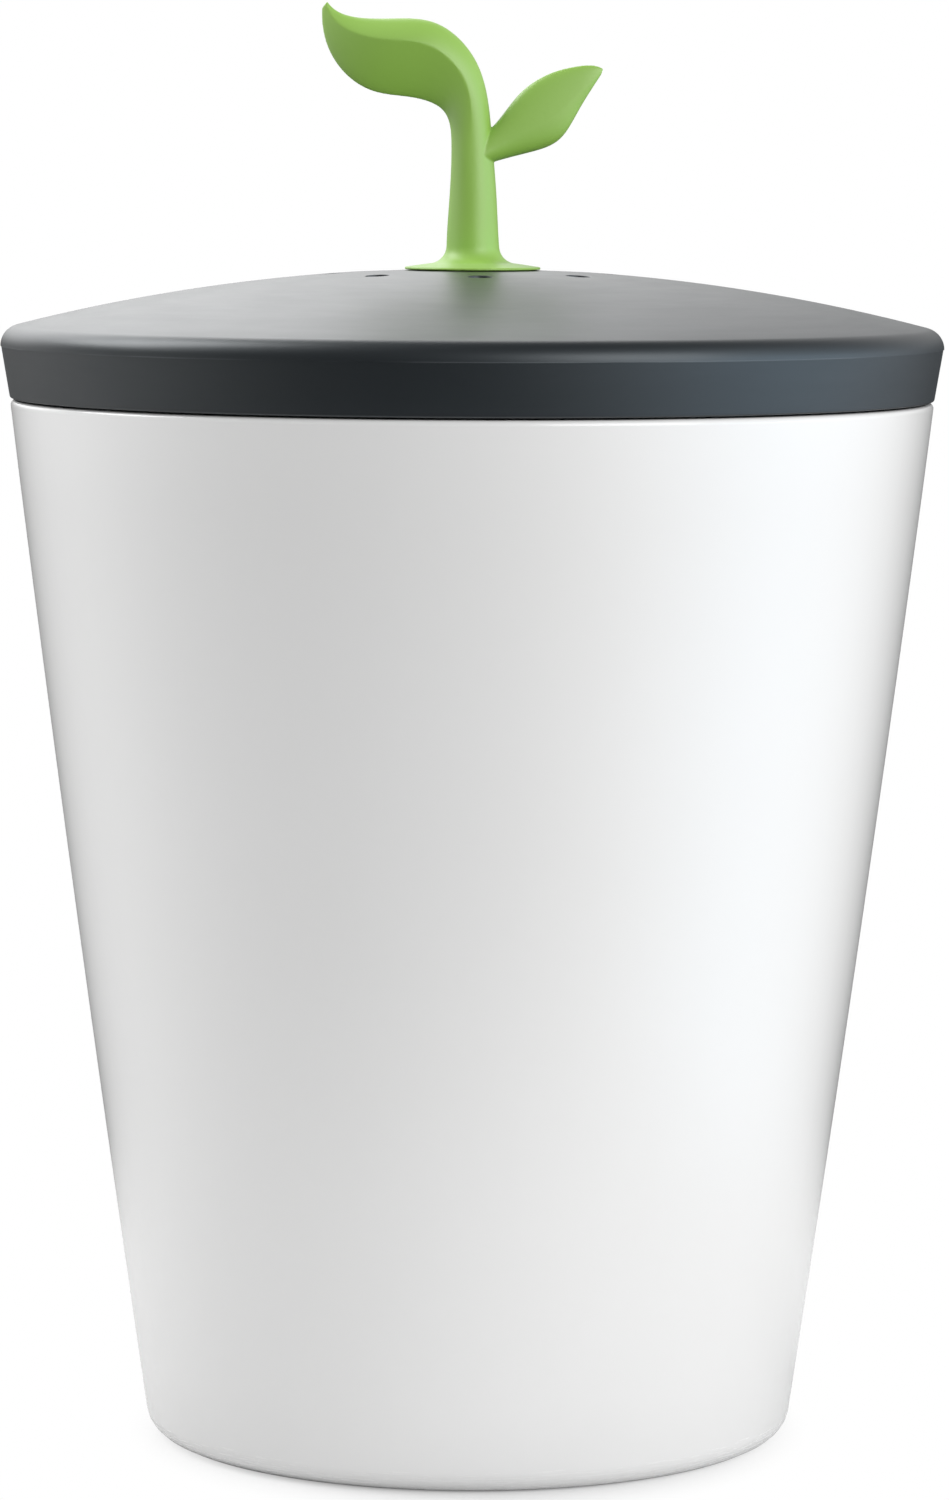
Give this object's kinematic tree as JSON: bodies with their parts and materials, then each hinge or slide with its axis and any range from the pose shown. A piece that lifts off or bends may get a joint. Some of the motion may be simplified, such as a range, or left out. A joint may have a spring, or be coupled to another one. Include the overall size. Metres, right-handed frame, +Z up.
{
  "type": "kitchen compost bin",
  "caption": "White tapered countertop compost crock with a lift-out liner and a charcoal domed lid that has vents, a carbon filter and a green sprout handle.",
  "frame": {"origin": "middle of the base, on the surface that the bin stands on", "axes": "+Z up along the bin's axis, -Y to the front as pictured, +X to the viewer's right"},
  "size_m": [0.19, 0.19, 0.2901],
  "materials": {
    "white_crock": "gloss",
    "grey_liner": "satin",
    "charcoal_lid": "satin",
    "gasket_rubber": "matte",
    "carbon_felt": "matte",
    "fixing_steel": "satin",
    "sprout_green": "satin"
  },
  "bodies": {
    "crock": {"crock": "white_crock"},
    "bucket": {"bucket": "grey_liner"},
    "bail": {"bail": "grey_liner"},
    "lid": {"lid_shell": "charcoal_lid", "lid_gasket": "gasket_rubber", "sprout_handle": "sprout_green", "handle_screw": "fixing_steel", "handle_washer": "fixing_steel"},
    "filter": {"filter_tray": "charcoal_lid", "carbon_filter": "carbon_felt"}
  },
  "joints": [
    {"name": "bucket_lift", "type": "slide", "parent": "crock", "child": "bucket", "axis": [0, 0, 1], "range_m": [0, 0.22]},
    {"name": "lid_lift", "type": "slide", "parent": "bucket", "child": "lid", "axis": [0, 0, 1], "range_m": [0, 0.25]},
    {"name": "bail_swing", "type": "hinge", "parent": "bucket", "child": "bail", "pos_m": [0, 0, 0.2109], "axis": [1, 0, 0], "range_deg": [0, 90]},
    {"name": "filter_drop", "type": "slide", "parent": "lid", "child": "filter", "axis": [0, 0, -1], "range_m": [0, 0.06]}
  ],
  "couplings": [
    {"joint": "bail_swing", "follows": "lid_lift", "rad_per_m": 6.28}
  ]
}
